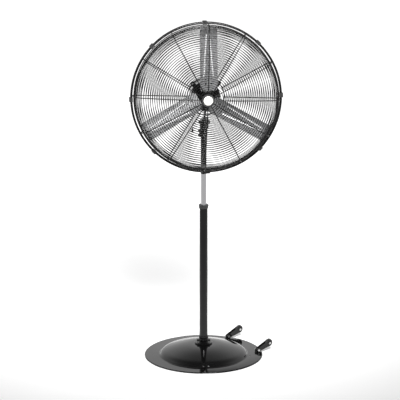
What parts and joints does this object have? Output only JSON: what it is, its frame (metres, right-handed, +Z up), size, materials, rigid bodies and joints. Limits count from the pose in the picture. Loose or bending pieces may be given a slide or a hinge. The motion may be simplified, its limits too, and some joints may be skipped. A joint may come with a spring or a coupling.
{
  "type": "pedestal fan",
  "caption": "Pedestal fan: wire drum guard, paddle blades and pull-chain motor on a tilting neck, telescopic pole and round pressed base with transport wheels.",
  "frame": {"origin": "on the floor, on the pole's axis, at the centre of the round base", "axes": "+Z up along the pole; -Y towards the side that the fan blows to when the head isn't swivelled; +X to the right as seen from that side. As stored the head is swivelled 5 degrees towards +X and tilted 7 degrees up."},
  "size_m": [0.8275, 0.6505, 1.9248],
  "materials": {
    "black_coat": "glossy black powder coat",
    "guard_wire": "semi-gloss black powder-coated wire",
    "blade_metal": "satin dark grey",
    "chrome": "bright chrome",
    "black_steel": "blackened steel",
    "zinc_steel": "zinc-plated",
    "black_plastic": "fine moulded texture",
    "rubber": "matt",
    "cast_iron": "rough cast",
    "lamination_steel": "laminated",
    "bearing_steel": "ground",
    "copper_winding": "enamelled copper, varnished",
    "badge_face": "gloss off-white with a faint red abstract mark"
  },
  "bodies": {
    "base": {"base_dish": "black_coat", "ballast_plate": "cast_iron", "rubber_feet": "rubber", "pole_flange": "black_coat", "flange_bolts": "black_steel", "outer_tube": "black_coat", "grip_bush": "black_plastic", "wheel_lugs": "black_coat", "wheel_arms": "black_coat", "wheel_arm_bolts": "zinc_steel", "wheel_axles": "zinc_steel"},
    "left_wheel": {"left_wheel_hub": "black_plastic", "left_wheel_tyre": "rubber"},
    "right_wheel": {"right_wheel_hub": "black_plastic", "right_wheel_tyre": "rubber"},
    "collar": {"lock_collar": "black_plastic"},
    "mast": {"inner_tube": "chrome", "guide_bush": "black_plastic", "head_stem": "black_coat"},
    "neck": {"swivel_socket": "black_coat", "socket_bolts": "black_steel", "knuckle_block": "black_coat", "tilt_bolt": "black_steel"},
    "head": {"motor_saddle": "black_coat", "saddle_bolts": "zinc_steel", "front_bell": "black_coat", "rear_bell": "black_coat", "stator_core": "lamination_steel", "stator_windings": "copper_winding", "motor_bearings": "bearing_steel", "motor_tie_bolts": "zinc_steel", "guard_bracket": "black_coat", "bracket_bolts": "zinc_steel", "switch_box": "black_plastic", "pull_switch": "black_plastic", "run_capacitor": "black_plastic", "cable_gland": "black_plastic", "rear_rim": "guard_wire", "rear_spokes": "guard_wire", "rear_face_rings": "guard_wire", "rear_shoulder_rings": "guard_wire", "rear_hub_plate": "guard_wire", "front_rim": "guard_wire", "front_spokes": "guard_wire", "front_face_rings": "guard_wire", "front_shoulder_rings": "guard_wire", "guard_clips": "black_steel", "clip_screws": "black_steel", "centre_plate": "black_plastic", "badge": "badge_face"},
    "rotor": {"motor_shaft": "bearing_steel", "rotor_core": "lamination_steel", "blade_hub": "black_coat", "hub_set_screw": "black_steel", "blade_rivets": "black_steel", "blade_1": "blade_metal", "blade_2": "blade_metal", "blade_3": "blade_metal"},
    "chain": {"pull_chain": "zinc_steel", "chain_knob": "black_plastic"}
  },
  "joints": [
    {"name": "left_wheel_roll", "type": "hinge", "parent": "base", "child": "left_wheel", "pos_m": [0.1971, 0.308, 0.045], "axis": [-0.5664, 0.8241, 0], "continuous": true},
    {"name": "right_wheel_roll", "type": "hinge", "parent": "base", "child": "right_wheel", "pos_m": [0.35818, 0.07363, 0.045], "axis": [-0.5664, 0.8241, 0], "continuous": true},
    {"name": "collar_twist", "type": "hinge", "parent": "base", "child": "collar", "pos_m": [0, 0, 0.853], "axis": [0, 0, 1], "range_deg": [0, 150]},
    {"name": "height_slide", "type": "slide", "parent": "base", "child": "mast", "axis": [0, 0, 1], "range_m": [-0.36, 0.18]},
    {"name": "head_swivel", "type": "hinge", "parent": "mast", "child": "neck", "pos_m": [0, 0, 1.269], "axis": [0, 0, 1], "range_deg": [-90, 90]},
    {"name": "head_tilt", "type": "hinge", "parent": "neck", "child": "head", "pos_m": [0, 0, 1.329], "axis": [-0.9962, -0.0872, 0], "range_deg": [-22, 23]},
    {"name": "blade_spin", "type": "hinge", "parent": "head", "child": "rotor", "pos_m": [0.01341, -0.15325, 1.51211], "axis": [0.0865, -0.9888, 0.1219], "continuous": true},
    {"name": "chain_pull", "type": "slide", "parent": "head", "child": "chain", "axis": [0, 0, -1], "range_m": [0, 0.012], "stiffness_N_per_m": 400, "springref_m": -0.004}
  ]
}
